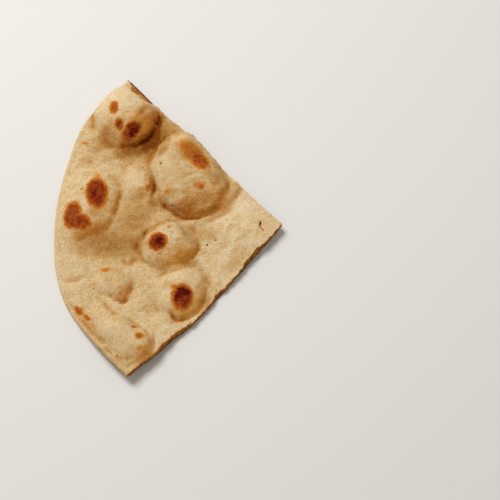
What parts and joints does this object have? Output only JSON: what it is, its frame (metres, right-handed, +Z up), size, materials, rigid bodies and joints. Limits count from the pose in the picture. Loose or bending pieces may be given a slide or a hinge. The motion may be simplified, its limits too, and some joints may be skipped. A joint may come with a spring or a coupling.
{
  "type": "tandoori roti quarter",
  "caption": "Flat quarter of a round clay-oven wheat bread, lying face up, with puffed blisters, toasted spots, a rounded rim and cut sides that open between its skins.",
  "frame": {"origin": "on the table under the middle of the quarter's box", "axes": "+Z up out of the blistered face, +X from the rim towards the tip of the quarter, +Y towards the first cut's end of the rim"},
  "size_m": [0.1126, 0.1632, 0.0139],
  "materials": {
    "baked_dough": "matte baked wheat dough with toasted brown spots"
  },
  "bodies": {
    "root": {"roti_quarter": "baked_dough"}
  },
  "joints": []
}
